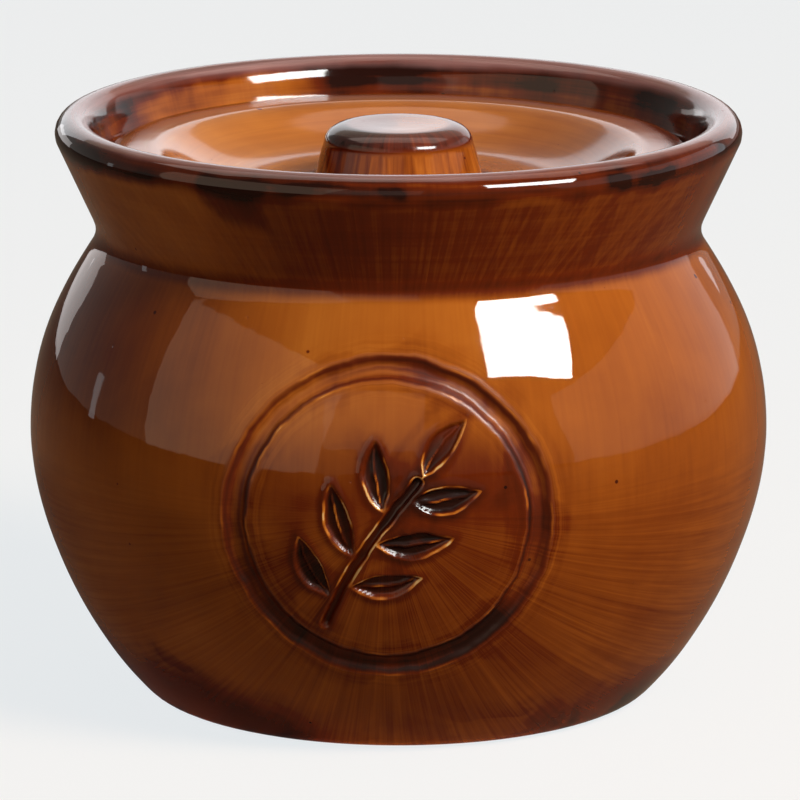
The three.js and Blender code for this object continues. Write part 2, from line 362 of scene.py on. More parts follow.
def pot_outline(size, shape):
    """The pot's half section, and the distance along it to each of its named places."""
    fine, middling, coarse, rough = 0.00033, 0.0008, 0.0016, 0.004
    floor_height = size.foot_recess + size.floor_thickness
    recess_radius = size.foot_radius - size.foot_ring_width
    line = Outline(spot(0, size.foot_recess))
    at = SimpleNamespace()
    line.straight(spot(recess_radius - size.recess_slope, size.foot_recess), rough)
    line.straight(spot(recess_radius, 0), coarse)
    at.foot = line.straight(spot(size.foot_radius, 0), coarse)
    line.round(shape.foot_centre, size.foot_turn, middling)

    # The belly is cut finely where the roundel lies
    belly = Outline(line.end)
    belly.curve(*shape.lower_handles, shape.belly, fine)
    middle = belly.run + shape.roundel_rise
    belly.curve(*shape.upper_handles, shape.shoulder_top, fine)
    at.roundel = line.run + middle
    last = -coarse
    kept = []
    for point, run in zip(belly.points, belly.runs):
        grain = fine if abs(run - middle) < shape.fine_edge else 3 * fine
        if run - last > grain - fine / 2:
            kept.append(point)
            last = run
    line.add(kept)
    line.add([shape.shoulder_top])

    line.bend(shape.waist, shape.collar_foot, middling)
    at.waist = line.run - size.waist_blend
    line.straight(shape.collar_top, 2 * middling)
    at.lip = line.run + size.lip_round * math.pi / 2
    line.round(shape.lip_centre, math.pi - size.collar_swell, middling / 2)
    flat = math.pi + shape.collar_lean + size.collar_swell
    steep = math.pi + shape.collar_lean - size.collar_ease
    corner = reach(line.end, flat, size.swell_reach / 2)
    line.bend(corner, reach(corner, steep, size.swell_reach / 2), middling / 2)
    line.straight(reach(line.end, steep, size.swell_reach / 2), middling)
    seat = spot(shape.collar_inside(shape.ledge_height), shape.ledge_height)
    corner = reach(line.end, steep, size.swell_reach / 2)
    line.bend(corner, corner + (seat - corner).normalized() * size.swell_reach, middling)
    line.straight(seat, coarse)
    at.ledge = line.run
    ledge_edge = spot(shape.throat_radius, shape.ledge_height)
    line.straight(ledge_edge + spot(size.ledge_round, 0), coarse)
    line.bend(ledge_edge, ledge_edge - spot(0, size.ledge_round), middling / 2)
    at.throat = line.run

    # The cavity follows the belly's outside, one wall in
    cavity = Outline(shape.belly_foot)
    cavity.curve(*shape.lower_handles, shape.belly, 2 * coarse)
    cavity.curve(*shape.upper_handles, shape.shoulder_top, 2 * coarse)
    inner = inside_of(cavity.points, size.belly_wall)
    inner = [p for p in inner if p.z > floor_height + size.floor_round]
    top = inner[0]
    throat_foot = spot(
        shape.throat_radius, top.z + (top.x - shape.throat_radius) / math.tan(size.shoulder_lean)
    )
    line.straight(throat_foot + spot(0, size.throat_blend), coarse)
    line.bend(throat_foot, top, coarse)
    line.add(inner)
    corner = spot(inner[-1].x - size.floor_round / 2, floor_height)
    line.bend(corner, corner - spot(size.floor_round, 0), coarse)
    line.straight(spot(0, floor_height), rough)
    return line, at


def lid_outline(size, shape):
    """The lid's half section, and the distance along it to each of its named places."""
    fine, coarse = 0.0004, 0.0012
    seat = shape.ledge_height + size.seat_gap
    dish_floor = seat + size.ring_height - size.dish_depth
    underside = dish_floor - size.thickness
    plug_radius = shape.throat_radius - size.plug_clearance
    crest = seat + size.ring_height

    def edge_radius(height):
        return shape.collar_inside(height) - size.clearance / math.cos(shape.collar_lean)

    plug_edge = spot(plug_radius, underside)
    crest_outer = spot(edge_radius(crest), crest)
    crest_inner = crest_outer - spot(size.ring_width, 0)
    slope_width = crest_inner.x - size.dish_floor_radius
    crest_share, floor_share = 0.25, 0.5
    edge_top = reach(crest_outer, math.pi + shape.collar_lean, size.edge_blend)

    line = Outline(spot(0, underside))
    line.straight(plug_edge - spot(size.plug_round, 0), coarse)
    line.bend(plug_edge, plug_edge + spot(0, size.plug_round), fine)
    at = SimpleNamespace(plug=line.straight(spot(plug_radius, seat), coarse))
    at.seat = line.straight(spot(edge_radius(seat), seat), coarse)
    line.straight(edge_top, coarse)
    at.edge = line.run + size.edge_blend
    line.bend(crest_outer, crest_outer - spot(size.edge_blend, 0), fine)
    at.crest = line.straight(crest_inner, coarse)
    dish_edge = spot(size.dish_floor_radius, dish_floor)
    line.curve(
        crest_inner - spot(crest_share * slope_width, 0),
        dish_edge + spot(floor_share * slope_width, 0),
        dish_edge,
        coarse,
    )
    line.straight(spot(0, dish_floor), coarse)
    return line, at


def knob_outline(size, foot):
    """The knob's half section, and the distance along it to each of its named places."""
    fine, coarse = 0.0003, 0.0008
    side_top = spot(size.top_radius, foot + size.height - size.edge_drop)
    drop = size.height - size.edge_drop
    side_foot = reach(side_top, math.pi - size.lean, drop / math.cos(size.lean))
    side_start = reach(side_foot, -size.lean, 2 * size.fillet)
    top = foot + size.height
    line = Outline(spot(0, foot))
    at = SimpleNamespace(foot=line.straight(side_foot + spot(size.fillet, 0), coarse))
    line.bend(side_foot, side_start, fine)
    line.straight(side_top, coarse)
    start = line.run
    # A quarter of an ellipse, as a Bezier curve with the usual handles of a round
    kappa = 0.5523
    inner = spot(size.top_radius - size.edge_width, top)
    line.curve(
        side_top + spot(0, kappa * size.edge_drop),
        inner + spot(kappa * size.edge_width, 0),
        inner,
        fine,
    )
    at.edge = (start + line.run) / 2
    floor = top - size.dish_depth
    bend_share = 0.6
    turn = bend_share * inner.x
    line.curve(spot(turn, top), spot(turn, floor), spot(0, floor), fine)
    return line, at


# Meshes


def turned(outline, sectors):
    """An outline spun about Z in sectors, each an angle and a number of steps."""
    form = bmesh.new()
    run = form.verts.layers.float.new("run")
    chain = []
    for point, distance in zip(outline.points, outline.runs):
        vert = form.verts.new(point)
        vert[run] = distance
        chain.append(vert)
    links = [form.edges.new(pair) for pair in zip(chain, chain[1:])]
    last = chain + links
    for turn, steps in sectors:
        last = bmesh.ops.spin(
            form,
            geom=last,
            cent=(0, 0, 0),
            axis=(0, 0, 1),
            angle=turn,
            steps=steps,
            use_merge=len(sectors) == 1,
            use_duplicate=False,
        )["geom_last"]
    bmesh.ops.remove_doubles(form, verts=form.verts, dist=MERGE)
    bmesh.ops.recalc_face_normals(form, faces=form.faces)
    # Spin makes the faces in no fixed order, so they are sorted by their first three vertices
    form.verts.index_update()
    count = len(form.verts)

    def rank(face):
        a, b, c = sorted(vert.index for vert in face.verts)[:3]
        return (a * count + b) * count + c

    form.faces.sort(key=rank)
    return form


def finished(form, name, body, node, finish):
    """The form as a smooth object that stands for a node of the frame and rides on its body."""
    for edge in form.edges:
        edge.smooth = len(edge.link_faces) == 2 and edge.calc_face_angle() < SHARP
    for face in form.faces:
        face.smooth = True
    mesh = bpy.data.meshes.new(name)
    form.to_mesh(mesh)
    form.free()
    mesh.materials.append(finish)
    piece = bpy.data.objects.new(name, mesh)
    bpy.context.scene.collection.objects.link(piece)
    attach(piece, body)
    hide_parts(node)
    return piece


# Carving


def smooth_step(value):
    """0 below 0, 1 above 1 and a soft slope between."""
    value = min(1, max(0, value))
    return value * value * (3 - 2 * value)


class Leaf:
    """A pointed oval that bows to one side, along its own X axis."""

    widest_share = 0.45

    def __init__(self, root, way, turn, share, size):
        self.length = size.leaf_length * share
        self.bow = math.copysign(size.leaf_bow, turn)
        self.half_width = size.leaf_half_width
        lean = math.atan2(way.y, way.x) + turn * math.pi
        self.along = Vector((math.cos(lean), math.sin(lean)))
        self.root = root + size.leaf_gap * self.along

    def reach_in(self, point):
        """How far a point lies inside the leaf's outline, and how far from its vein."""
        offset = point - self.root
        x = offset.dot(self.along) / self.length
        y = self.along.cross(offset)
        if x <= 0 or x >= 1:
            tip = self.length * self.along if x >= 1 else Vector((0, 0))
            return -(offset - tip).length, self.length
        # Solves the outline's curve for the share of its length that is reached at x
        first, second = 2 * self.widest_share, 1 - 2 * self.widest_share
        share = (-first + math.sqrt(first * first + 4 * second * x)) / (2 * second)
        swell = 2 * share * (1 - share)
        slope = 2 * (1 - 2 * share) / (self.length * (first + 2 * second * share))
        middle = y - swell * self.bow
        edge = swell * 2 * self.half_width - abs(middle)
        side = math.copysign(2 * self.half_width, middle) + self.bow
        return edge / math.hypot(1, slope * side), abs(middle)


class Carving:
    """The ring groove and the sprig, drawn flat: x round the pot and y up the clay."""

    stem_shares = ((-0.42, -0.68), (-0.2, -0.16), (0.2, 0.28))
    # Where leaves leave the stem, how far each opens and how long it is
    leaf_shares = (
        (0.14, 0.28, 0.95),
        (0.26, -0.3, 1),
        (0.42, 0.26, 1.05),
        (0.56, -0.28, 1.05),
        (0.73, 0.25, 1),
        (0.87, -0.24, 0.95),
        (1, 0.02, 0.95),
    )

    def __init__(self, size):
        self.size = size
        a, b, c = (size.radius * Vector(share) for share in self.stem_shares)
        samples = 25
        self.stem = geometry.interpolate_bezier(a, a.lerp(b, PULL), c.lerp(b, PULL), c, samples)
        self.leaves = []
        for along, turn, share in self.leaf_shares:
            root = a * (1 - along) ** 2 + b * 2 * along * (1 - along) + c * along**2
            way = (b - a) * (1 - along) + (c - b) * along
            self.leaves.append(Leaf(root, way, turn, share, size))

    def off_stem(self, point):
        """How far a point lies from the stem's middle."""
        best = self.size.radius
        for start, end in zip(self.stem, self.stem[1:]):
            along = end - start
            share = min(1, max(0, (point - start).dot(along) / along.length_squared))
            best = min(best, (point - start - share * along).length)
        return best

    def cut_at(self, point):
        """The clay cut away at a point, and how far it is from the ring, a cut and a vein."""
        size = self.size
        spread = Vector((point.x, point.y, 0)) / size.leaf_length
        slow, quick = 3, 8
        stray = noise.noise_vector(slow * spread) + 0.5 * noise.noise_vector(quick * spread)
        point = point + size.hand_wander * Vector((stray.x, stray.y))
        ring = point.length - size.radius
        depth = size.groove_depth * smooth_step((size.groove_reach - abs(ring)) / size.groove_wall)
        depth += size.field_depth * smooth_step(-ring / size.groove_reach)

        inside = size.stem_reach - self.off_stem(point)
        wall = smooth_step(inside / size.cut_wall)
        cut = size.leaf_depth * wall
        vein = size.radius
        for leaf in self.leaves:
            leaf_inside, off_vein = leaf.reach_in(point)
            leaf_wall = smooth_step(leaf_inside / size.cut_wall)
            ridge = smooth_step(1 - off_vein / size.vein_reach)
            ridge *= smooth_step(2 * leaf_inside / size.leaf_half_width)
            cut = max(cut, leaf_wall * (size.leaf_depth - size.vein_height * ridge))
            wall = max(wall, leaf_wall)
            if leaf_inside > inside:
                inside, vein = leaf_inside, off_vein
        burr = size.burr_height * smooth_step(1 + inside / size.burr_reach) * (1 - wall)
        return depth + cut - burr, ring, inside, vein


def carve(form, size, pot, middle):
    """Sinks the carving into the belly and marks each vertex with its place in it."""
    carving = Carving(size)
    run = form.verts.layers.float["run"]
    marks = [form.verts.layers.float.new(name) for name in ("ring", "cut", "vein")]
    ring_mark, cut_mark, vein_mark = marks
    edge_share = 3
    edge = size.radius + edge_share * size.groove_reach
    form.normal_update()
    noise.seed_set(HAND_SEED)
    for vert in form.verts:
        around = pot.belly_radius * math.atan2(vert.co.x, -vert.co.y)
        flat = Vector((around, (vert[run] - middle) / size.stretch))
        vert[ring_mark] = flat.length - size.radius
        vert[cut_mark], vert[vein_mark] = -edge, edge
        if flat.length < edge:
            depth, vert[ring_mark], vert[cut_mark], vert[vein_mark] = carving.cut_at(flat)
            vert.co -= depth * vert.normal


# Shaders


class Wire:
    """A socket of a shader, on which the signs of arithmetic add Math nodes."""

    def __init__(self, finish, socket):
        self.finish = finish
        self.socket = socket

    def maths(self, operation, *values):
        """A Math node."""
        sockets = dict(enumerate(values))
        return self.finish.node("ShaderNodeMath", {"operation": operation}, sockets)

    def __add__(self, other):
        return self.maths("ADD", self, other)

    def __sub__(self, other):
        return self.maths("SUBTRACT", self, other)

    def __rsub__(self, other):
        return self.maths("SUBTRACT", other, self)

    def __mul__(self, other):
        return self.maths("MULTIPLY", self, other)

    def __abs__(self):
        return self.maths("ABSOLUTE", self)

    __radd__ = __add__
    __rmul__ = __mul__

    def most(self, other):
        """The greater of two wires."""
        return self.maths("MAXIMUM", self, other)

    def rise(self, low, high):
        """0 below low, 1 above high and a soft slope between."""
        return self.finish.node(
            "ShaderNodeMapRange",
            {"interpolation_type": "SMOOTHSTEP"},
            {"Value": self, "From Min": low, "From Max": high},
        )

    def fall(self, low, high):
        """1 below low, 0 above high and a soft slope between."""
        return 1 - self.rise(low, high)

    def between(self, low, high, soft):
        """1 from low to high, and 0 further out, with soft ends."""
        return self.rise(low - soft, low + soft) * self.fall(high - soft, high + soft)


class Finish:
    """The nodes of a material or of the room, and the few ways in which they are made."""

    def __init__(self, owner):
        self.owner = owner
        owner.use_nodes = True
        self.tree = owner.node_tree
        self.tree.nodes.clear()

    def node(self, kind, settings=None, sockets=None, output=0):
        """A node with its settings, and the values or wires of its sockets."""
        made = self.tree.nodes.new(kind)
        for name, value in (settings or {}).items():
            if name == "stops":
                self.set_stops(made.color_ramp, value)
            else:
                setattr(made, name, value)
        for name, value in (sockets or {}).items():
            if isinstance(value, Wire):
                self.tree.links.new(value.socket, made.inputs[name])
            else:
                made.inputs[name].default_value = value
        return Wire(self, made.outputs[output]) if made.outputs else None

    @staticmethod
    def set_stops(ramp, stops):
        """Gives a ramp its stops, each a place and a colour."""
        while len(ramp.elements) < len(stops):
            ramp.elements.new(1)
        for element, (place, colour) in zip(ramp.elements, stops):
            element.position = place
            element.color = (*colour, 1)

    def mark(self, name):
        """A number that the mesh carries."""
        return self.node("ShaderNodeAttribute", {"attribute_name": name}, output="Fac")

    def place(self):
        """Object coordinates."""
        return self.node("ShaderNodeTexCoord", output="Object")

    def vectors(self, operation, *values, output=0):
        """A Vector Math node."""
        sockets = dict(enumerate(values))
        return self.node("ShaderNodeVectorMath", {"operation": operation}, sockets, output)

    def scaled(self, vector, scale):
        """A vector times another, part by part."""
        return self.vectors("MULTIPLY", vector, scale)

    def unit(self, vector):
        """A vector's direction, one unit long."""
        return self.vectors("NORMALIZE", vector)

    def part(self, vector, axis):
        """A vector's part along one axis."""
        return self.node("ShaderNodeSeparateXYZ", sockets={0: vector}, output=axis)

    def noise(self, vector, scale, detail=2, rough=0.5, warp=0):
        """Cloudy noise, about 0.5 on average."""
        return self.node(
            "ShaderNodeTexNoise",
            sockets={
                "Vector": vector,
                "Scale": scale,
                "Detail": detail,
                "Roughness": rough,
                "Distortion": warp,
            },
        )

    def sway(self, *values, **named):
        """Cloudy noise, about 0 on average."""
        return self.noise(*values, **named) - 0.5

    def dots(self, vector, scale, size, share):
        """Round dots in a share of the cells, the largest of a size: 1 inside a dot."""
        cells = {"Vector": vector, "Scale": scale}
        near = self.node("ShaderNodeTexVoronoi", sockets=cells)
        shade = self.node("ShaderNodeTexVoronoi", sockets=cells, output="Color")
        pick = self.node("ShaderNodeSeparateColor", sockets={"Color": shade})
        radius = (pick + (share - 1)) * (size * scale / share)
        soft_share = 0.3
        return (radius - near).rise(0, soft_share * size * scale)

    def mixed(self, share, first, second):
        """Two colours mixed by a share of the second."""
        return self.node(
            "ShaderNodeMix",
            {"data_type": "RGBA"},
            {"Factor": share, 6: first, 7: second},
            output=2,
        )

    def either(self, share, first, second):
        """Two shaders mixed by a share of the second."""
        return self.node("ShaderNodeMixShader", sockets={0: share, 1: first, 2: second})

    def shown(self, shader, kind="ShaderNodeOutputMaterial"):
        """Shows a shader as the surface, and gives back what carries it."""
        self.node(kind, sockets={"Surface": shader})
        return self.owner


class Glaze(Finish):
    """The pot's amber glaze: its colour follows its thickness, from 0, thin, to 1, deep, and in
    places that thickness also carries painted light and shade.
    """

    streak_rough = 0.6

    def __init__(self, name, tones):
        super().__init__(bpy.data.materials.new(name))
        self.tones = tones
        self.at = self.place()
        self.side = self.unit(self.scaled(self.at, (1, 1, 0)))
        self.leftward = -1 * self.part(self.side, "X")
        self.wander = self.sway(self.at, 60, detail=3)

    def streaks(self, count, stretch, detail=3, warp=0):
        """Noise drawn out down the clay, with about this many streaks round the piece."""
        return self.drawn(self.side, (0, 0, stretch), count, detail, warp)

    def grain_reflection(self, height, count, stretch, detail=3, warp=0):
        """Noise drawn out from the point of the front at this height, for a painted reflection of
        wood grain.
        """
        off = self.vectors("SUBTRACT", self.at, (0, 0, height))
        way = self.unit(self.scaled(off, (1, 0, 1)))
        return self.drawn(way, (0, stretch, 0), count, detail, warp)

    def lines(self, run, across, along=25, detail=3, warp=0):
        """Noise drawn out round the piece, like the marks of turning."""
        offset = self.node("ShaderNodeCombineXYZ", sockets={"Z": run * across})
        place = self.vectors("MULTIPLY_ADD", self.at, (along, along, 0), offset)
        return self.sway(place, 1, detail, self.streak_rough, warp)

    def drawn(self, side, along, count, detail, warp):
        """Noise with many streaks round an axis, slow along it."""
        spread = count / math.tau
        slow = self.scaled(self.at, tuple(spread * part for part in along))
        around = self.vectors("MULTIPLY_ADD", side, (spread, spread, spread), slow)
        return self.sway(around, 1, detail, self.streak_rough, warp)

    def mottle(self, calm):
        """Clouds, and runs and fine hairs except where a wire is 1."""
        clouds = self.sway(self.at, 38, detail=4, rough=0.55, warp=0.4)
        patches = self.sway(self.at, 13, detail=1)
        runs = self.streaks(70, 5)
        hairs = self.streaks(460, 0.7, detail=1)
        return clouds * 0.32 + patches * 0.25 + (1 - calm) * (runs * 0.12 + hairs * 0.08)

    def colour(self, thickness, bloom_and_sheen):
        """The glaze's colour, with pale crystals and painted sheen where a wire is 1."""
        tones = self.tones
        stops = (
            (0, tones.cream),
            (0.16, tones.honey),
            (0.42, tones.amber),
            (0.7, tones.chestnut),
            (1, tones.umber),
        )
        clear = self.node("ShaderNodeValToRGB", {"stops": stops}, {"Fac": thickness})
        return self.mixed(bloom_and_sheen, clear, (*tones.bloom_and_sheen, 1))

    def glazed(self, thickness, bloom_and_sheen, calm=0, matt=0, bare=None):
        """The finished glaze, with bare clay where the last wire is 1."""
        specks = self.dots(self.at, 160, 0.0006, 0.25) * 0.4
        grains = self.dots(self.at, 260, 0.0004, 0.2) * 0.3
        thickness = thickness + self.mottle(calm) + specks + grains
        colour = self.colour(thickness, bloom_and_sheen)
        smear = self.noise(self.at, 55, detail=3)
        roughness = 0.02 + smear.rise(0.4, 0.8) * 0.05 + bloom_and_sheen * 0.2 + matt
        peel = self.noise(self.at, 190, detail=2)
        swell = self.noise(self.at, 90, detail=1)
        rings = self.noise(self.scaled(self.at, (4, 4, 190)), 1, detail=1)
        pits = self.dots(self.at, 350, 0.00035, 0.15)
        height = peel * 0.00003 + swell * 0.00004 + rings * 0.00003 - pits * 0.00004
        if bare is not None:
            grit = self.noise(self.at, 1500, detail=3, rough=0.7)
            stain = self.noise(self.at, 70, detail=4).rise(0.4, 0.7)
            clay = self.mixed(stain, (*self.tones.clay, 1), (*self.tones.clay_stain, 1))
            colour = self.mixed(bare, colour, clay)
            roughness = roughness + bare * 0.75
            height = height + bare * grit * 0.0001 - bare * 0.00015
        bump = self.node("ShaderNodeBump", sockets={"Distance": 1.0, "Height": height})
        shader = self.node(
            "ShaderNodeBsdfPrincipled",
            sockets={
                "Base Color": colour,
                "Roughness": roughness,
                "Normal": bump,
                "Specular IOR Level": self.tones.shine_level,
                "Specular Tint": (*self.tones.shine, 1),
            },
        )
        return self.shown(shader)


def pot_glaze(tones, at, height):
    """The pot's glaze, with its dark lip and cuts and its wiped foot and ledge."""
    glaze = Glaze("pot_glaze", tones)
    run, wander = glaze.mark("run"), glaze.wander
    drips = glaze.streaks(26, 3)
    spots = glaze.noise(glaze.at, 85, detail=3, warp=0.5)
    blots = glaze.noise(glaze.at, 34, detail=3, warp=0.8)

    lower = run.fall(at.roundel - 0.002, at.roundel + 0.02)
    collar = run.between(at.waist, at.lip - 0.005, 0.0016)
    inner = run.rise(at.lip + 0.003, at.lip + 0.008)
    upper = run.between(at.roundel + 0.01, at.waist, 0.008)
    left, right = glaze.leftward.rise(0.2, 0.75), (-1 * glaze.leftward).rise(0.2, 0.8)
    turns = glaze.lines(run, 900)
    usual = 0.41
    # Painted shade: the lower belly is deeper towards the bottom, and the upper belly deeper at
    # its sides, most on the left, away from the key lamp
    thickness = usual + lower * (0.15 - left * 0.17 - right * 0.05)
    thickness += upper * (left * 0.22 + right * 0.05)
    # Painted light: this mask of the left side makes the inside, which is deeper overall, paler
    # where the key lamp shines in through the mouth, and ends the lip's deep band sooner there
    window = glaze.leftward.between(0.34, 0.8, 0.14)
    thickness += inner * (0.34 + wander * 1.2 + turns * 0.4 - window * 0.36)
    # Painted shade: the collar, which faces down, is deeper, and painted light makes it paler on
    # the left
    thickness += collar * (0.32 - left * 0.44 - right * 0.06 + turns * 0.12)

    # The lip is deep, with drips under it and a streaky pale crest of fine crystals that is partly
    # a painted sheen of pale reflections; the band under the lip is paler on the left as painted
    # light
    past_lip = run - at.lip - drips * 0.003 - wander * 0.004
    inward = past_lip + window * 0.0024
    on_lip = past_lip.rise(-0.0062, -0.0038) * inward.fall(0.005, 0.009)
    thickness += on_lip * (0.38 + blots.rise(0.4, 0.58) * 0.2 + turns * 0.5)
    off_edge = abs(past_lip + 0.0028)
    thickness += off_edge.fall(0.0006, 0.0016) * (0.08 + blots.rise(0.42, 0.54) * 0.2)
    hung = collar * run.rise(at.lip - 0.016, at.lip - 0.005)
    thickness += hung * ((blots - 0.47).most(0) * 1.6 - left * 0.12)

    # One heavier drip hangs from the lip at the front left
    drip_turn = math.radians(-25.2)
    way = glaze.vectors("DOT_PRODUCT", glaze.side, towards(drip_turn, 0), output="Value")
    drip = (way + wander * 0.03).rise(0.9938, 0.999)
    drip = drip * (run + wander * 0.01).rise(at.lip - 0.0125, at.lip - 0.0065)
    thickness += drip * run.fall(at.lip - 0.003, at.lip) * 0.34
    off_crest = abs(run - (at.lip + 0.0022)) + wander * 0.002
    bloom_and_sheen = off_crest.fall(0.0012, 0.0034) * (0.62 + turns * 1.6).most(0)
    off_waist = abs(run - at.waist) + wander * 0.001
    thickness += off_waist.fall(0.0003, 0.0022) * 0.2

    # A painted reflection of a wooden table's grain fans out in the glaze over the front of the
    # collar and the lower belly
    front = -1 * glaze.part(glaze.side, "Y")
    grain_reflection = glaze.grain_reflection(height, 420, 0.7, warp=0.4)
    reflected_planks = glaze.grain_reflection(height, 38, 0.5, detail=1)
    share = front.rise(-0.1, 0.4) * run.fall(at.roundel - 0.008, at.roundel + 0.01)
    thickness += share * (grain_reflection * 0.34 + reflected_planks * 0.16)
    thickness += collar * front.rise(0, 0.6) * (grain_reflection * 0.22 + reflected_planks * 0.1)

    # Glaze runs down and pools above the foot; the extra depth at the sides is painted shade on
    # the left and a painted reflection of the pot's dark contact shadow on the right
    uneven = wander * 0.016 + left * 0.009
    low = (run - uneven).fall(at.foot + 0.004, at.foot + 0.017)
    pools = glaze.noise(glaze.at, 60, detail=2, warp=1.5).rise(0.5, 0.6)
    deep = 0.02 + glaze.leftward.rise(0.05, 0.5) * 0.42 + right * 0.22
    thickness += low * (deep + pools * (0.04 + left * 0.24 + right * 0.16))

    # Deep glaze lies in the ring groove and spreads in patches past its edges, and from here
    # on distances from the cuts are in millimetres
    ring = glaze.mark("ring") * PER_MM
    off_ring = abs(ring) + wander * 1.2
    over_middle = run.between(at.roundel + 0.001, at.roundel + 0.014, 0.004)
    thickness += ring.fall(-2, 0) * (0.02 + over_middle * 0.14)
    echoes = glaze.lines(glaze.mark("ring"), 1000, along=30)
    low_end = (at.roundel - run).rise(0.008, 0.022)
    thickness += off_ring.fall(0.8, 2.2) * ((spots - 0.45) * 0.8 + low_end * 0.18)
    thickness += off_ring.fall(2, 7) * echoes * 0.6
    thickness += abs(off_ring - 1.7).fall(0.1, 0.6) * 0.16
    thickness += off_ring.fall(2, 3 + spots.rise(0.4, 0.7) * 6) * 0.12
    broken = glaze.noise(glaze.at, 140, detail=2).rise(0.5, 0.64)
    rim = 2.1
    arris = abs(ring + rim).fall(0.1, 0.34) + abs(ring - rim).fall(0.08, 0.28) * 0.5
    thickness -= arris * broken * 0.4

    # Each cut has a pale arris, where the glaze draws thin, and deep glaze inside
    cut = glaze.mark("cut") * PER_MM
    vein = glaze.mark("vein") * PER_MM
    patchy = glaze.noise(glaze.at, 130, detail=2).rise(0.42, 0.58)
    thickness += cut.rise(-1.8, -0.1) * 0.14
    thickness += cut.rise(0.2, 0.8) * 0.16
    thickness += cut.rise(-7, -0.5) * spots.rise(0.46, 0.62) * 0.14
    arris = abs(cut - 0.04).fall(0.06, 0.28) * patchy
    crest = vein.fall(0.08, 0.3) * cut.rise(0.35, 0.9) * (0.1 + patchy * 0.9)
    thickness -= arris * 0.9
    thickness -= crest * 0.8
    matt = cut.rise(-0.2, 0.4) * 0.2 + off_ring.fall(2.2, 3.4) * 0.3 + inner * 0.06

    wiped = wander * 0.002
    foot = run.fall(at.foot + 0.0014 + wiped, at.foot + 0.0017 + wiped)
    ledge = run.between(at.ledge - 0.0008 + wiped, at.throat - 0.001, 0.0002)
    return glaze.glazed(thickness, bloom_and_sheen, share, matt, foot.most(ledge))


def lid_glaze(tones, at):
    """The lid's glaze, darker at the ring's outer edge and wiped under it."""
    glaze = Glaze("lid_glaze", tones)
    run, wander = glaze.mark("run"), glaze.wander
    turns = glaze.lines(run, 500, warp=0.6)
    thickness = 0.33 + wander * 0.3 + turns * 0.3 - glaze.leftward * 0.1
    ring = run.between(at.edge - 0.002, at.crest, 0.0016)
    off_edge = abs(run - at.edge) + wander * 0.004
    # Painted reflection: the ring is paler and carries a pale sheen inside its outer edge, as a
    # pale wall mirrored at a grazing angle would give; the paleness is partly thin glaze over the
    # raised ring
    thickness -= ring * 0.08
    thickness += off_edge.fall(0.001, 0.005) * 0.36
    bloom_and_sheen = ring * off_edge.rise(0.001, 0.003) * 0.5
    off_knob = abs(run - at.knob) + wander * 0.001
    thickness += off_knob.fall(0.0004, 0.0022) * 0.3
    seat = run.between(at.plug, at.seat - 0.0004, 0.0003)
    matt = run.rise(at.crest, at.crest + 0.004) * 0.07 + 0.02
    return glaze.glazed(thickness, bloom_and_sheen, 1, matt, seat)


def knob_glaze(tones, at):
    """The knob's glaze: amber sides with fine runs under a dark rounded edge."""
    glaze = Glaze("knob_glaze", tones)
    run, wander = glaze.mark("run"), glaze.wander
    runs = glaze.streaks(60, 7, warp=0.8) * run.fall(at.edge, at.edge + 0.003)
    off_edge = abs(run - at.edge) + runs * 0.003 + wander * 0.001
    thickness = 0.42 + runs * 0.8 + wander * 0.5 + off_edge.fall(0.0016, 0.0034) * 0.36
    # Painted shade: the knob's left side is deeper, away from the key lamp
    thickness += glaze.leftward.rise(-0.4, 0.7) * 0.2
    thickness += run.fall(at.foot + 0.001, at.foot + 0.0026) * 0.3
    bloom_and_sheen = off_edge.fall(0.0014, 0.0024) * 0.08
    return glaze.glazed(thickness, bloom_and_sheen, 1, 0.08)


# Operators


def sizes(context):
    """The scene's stew pot settings."""
    return context.scene.stew_pot


class StewPotMakePot(bpy.types.Operator):
    """Turn the pot, carve its roundel and glaze it"""

    bl_idname = "stewpot.pot"
    bl_label = "Pot"
    bl_options = {"REGISTER", "UNDO"}

    def execute(self, context):
        size, roundel = sizes(context).pot, sizes(context).roundel
        shape = PotShape(size, roundel)
        outline, at = pot_outline(size, shape)
        front = 2 * shape.fine_edge / size.belly_radius
        front_steps, back_steps = 170, 78
        form = turned(outline, [(front, front_steps), (math.tau - front, back_steps)])
        turn = Matrix.Rotation(-math.pi / 2 - front / 2, 3, "Z")
        bmesh.ops.rotate(form, cent=(0, 0, 0), matrix=turn, verts=form.verts)
        carve(form, roundel, size, at.roundel)
        finish = pot_glaze(sizes(context).glaze, at, size.belly_height)
        finished(form, "glazed_pot", "pot", "pot_body", finish)
        return {"FINISHED"}


class StewPotMakeLid(bpy.types.Operator):
    """Turn the lid's dished plate and glaze it"""

    bl_idname = "stewpot.lid"
    bl_label = "Lid plate"
    bl_options = {"REGISTER", "UNDO"}

    def execute(self, context):
        size, pot = sizes(context).lid, sizes(context).pot
        shape = PotShape(pot, sizes(context).roundel)
        outline, at = lid_outline(size, shape)
        at.knob = outline.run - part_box("lid_knob")[1].x
        steps = 144
        form = turned(outline, [(math.tau, steps)])
        finish = lid_glaze(sizes(context).glaze, at)
        finished(form, "glazed_lid", "lid", "lid_plate", finish)
        return {"FINISHED"}


class StewPotMakeKnob(bpy.types.Operator):
    """Turn the knob and glaze it"""

    bl_idname = "stewpot.knob"
    bl_label = "Knob"
    bl_options = {"REGISTER", "UNDO"}

    def execute(self, context):
        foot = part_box("lid_knob")[0].z
        outline, at = knob_outline(sizes(context).knob, foot)
        steps = 120
        form = turned(outline, [(math.tau, steps)])
        finish = knob_glaze(sizes(context).glaze, at)
        finished(form, "glazed_knob", "lid", "lid_knob", finish)
        return {"FINISHED"}


